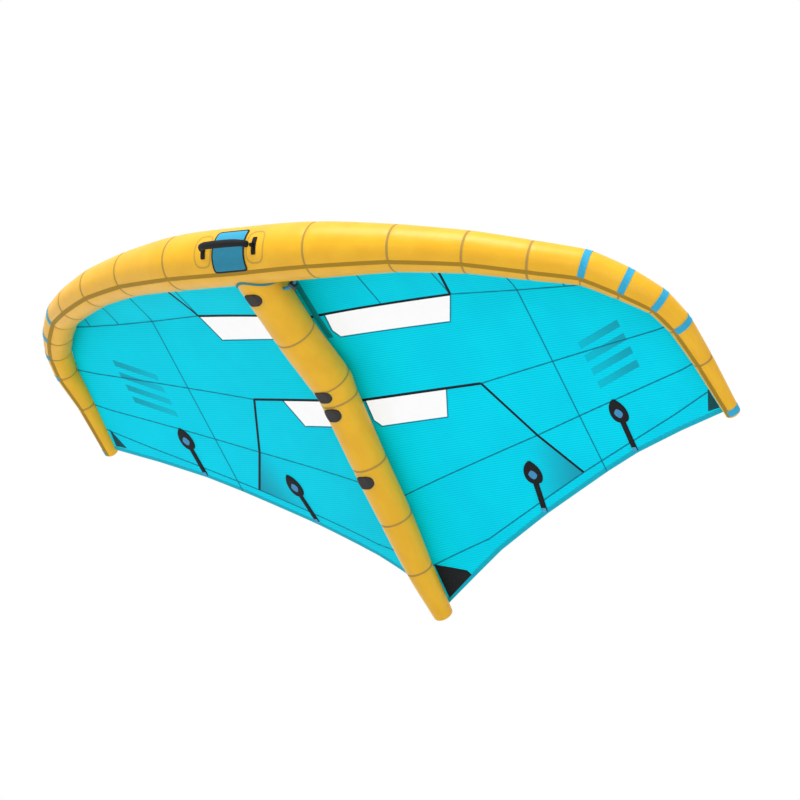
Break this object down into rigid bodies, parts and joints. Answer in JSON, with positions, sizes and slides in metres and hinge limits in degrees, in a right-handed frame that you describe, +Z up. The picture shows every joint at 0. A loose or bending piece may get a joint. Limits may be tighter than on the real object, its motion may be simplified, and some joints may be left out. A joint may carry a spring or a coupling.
{
  "type": "wingfoil wing",
  "caption": "Hand-held inflatable wing: curved leading edge tube and centre strut carrying a ripstop canopy with clear windows, battens, front handle, valve and clamped hose.",
  "frame": {"origin": "centre of the hand gap between the front grip and the leading edge", "axes": "+X to the port tip, -Y ahead, +Z up; the wing is held nose-up by 50.8 degrees, as in the picture"},
  "size_m": [3.3604, 1.3749, 1.5022],
  "materials": {
    "casing_yellow": "semi-gloss coated polyester sailcloth",
    "bladder_film": "translucent polyurethane film",
    "canopy_cyan": "ripstop polyester cloth, slightly translucent",
    "window_film": "clear film",
    "patch_black": "matt reinforcement cloth",
    "pocket_black": "matt webbing",
    "batten_glass": "glass-fibre strip",
    "grip_black": "padded webbing",
    "neoprene_blue": "matt neoprene",
    "pad_charcoal": "moulded, matt",
    "valve_grey": "moulded, satin",
    "hose_blue": "satin",
    "clamp_black": "satin"
  },
  "bodies": {
    "wing": {"leading_edge_centre": "casing_yellow", "leading_edge_inner_port": "casing_yellow", "leading_edge_inner_starboard": "casing_yellow", "leading_edge_outer_port": "casing_yellow", "leading_edge_outer_starboard": "casing_yellow", "leading_edge_tip_port": "casing_yellow", "leading_edge_tip_starboard": "casing_yellow", "strut_front": "casing_yellow", "strut_middle": "casing_yellow", "strut_tail": "casing_yellow", "leading_edge_bladder": "bladder_film", "strut_bladder": "bladder_film", "canopy_front_inner_port": "canopy_cyan", "canopy_front_inner_starboard": "canopy_cyan", "canopy_front_outer_port": "canopy_cyan", "canopy_front_outer_starboard": "canopy_cyan", "canopy_middle_inner_port": "canopy_cyan", "canopy_middle_inner_starboard": "canopy_cyan", "canopy_middle_outer_port": "canopy_cyan", "canopy_middle_outer_starboard": "canopy_cyan", "canopy_rear_inner_port": "canopy_cyan", "canopy_rear_inner_starboard": "canopy_cyan", "canopy_rear_outer_port": "canopy_cyan", "canopy_rear_outer_starboard": "canopy_cyan", "canopy_aft_inner_port": "canopy_cyan", "canopy_aft_inner_starboard": "canopy_cyan", "canopy_aft_outer_port": "canopy_cyan", "canopy_aft_outer_starboard": "canopy_cyan", "trailing_band_port": "canopy_cyan", "trailing_band_starboard": "canopy_cyan", "front_window_port": "window_film", "front_window_starboard": "window_film", "rear_window_port": "window_film", "rear_window_starboard": "window_film", "tail_patch_port": "patch_black", "tail_patch_starboard": "patch_black", "tip_patch_port": "patch_black", "tip_patch_starboard": "patch_black", "batten_pocket_inner_port": "pocket_black", "batten_pocket_inner_starboard": "pocket_black", "batten_pocket_outer_port": "pocket_black", "batten_pocket_outer_starboard": "pocket_black", "batten_inner_port": "batten_glass", "batten_inner_starboard": "batten_glass", "batten_outer_port": "batten_glass", "batten_outer_starboard": "batten_glass", "front_grip_anchor_port": "grip_black", "front_grip_anchor_starboard": "grip_black", "front_chafe_pad": "neoprene_blue", "strut_handle_mount_1": "pad_charcoal", "strut_handle_mount_2": "pad_charcoal", "strut_handle_mount_3": "pad_charcoal", "strut_handle_mount_4": "pad_charcoal", "valve_base": "valve_grey", "inflation_hose": "hose_blue", "hose_clamp": "clamp_black"},
    "grip": {"front_grip": "grip_black"},
    "insert": {"valve_insert": "valve_grey"},
    "cap": {"valve_cap": "valve_grey"},
    "lever": {"clamp_lever": "clamp_black"}
  },
  "joints": [
    {"name": "front_grip_swing", "type": "hinge", "parent": "wing", "child": "grip", "pos_m": [0, 0.00896, -0.00155], "axis": [1, 0, 0], "range_deg": [-45, 45]},
    {"name": "valve_insert_turn", "type": "hinge", "parent": "wing", "child": "insert", "pos_m": [-0.22979, 0.23073, -0.08616], "axis": [0.0374, 0.84, -0.5412], "range_deg": [0, 90]},
    {"name": "valve_cap_flip", "type": "hinge", "parent": "wing", "child": "cap", "pos_m": [-0.20907, 0.23754, -0.09098], "axis": [-0.0176, -0.541, -0.8408], "range_deg": [0, 120]},
    {"name": "clamp_lever_turn", "type": "hinge", "parent": "wing", "child": "lever", "pos_m": [0.13688, 0.22139, -0.13924], "axis": [-0.8024, 0.157, -0.5758], "range_deg": [0, 110]}
  ]
}
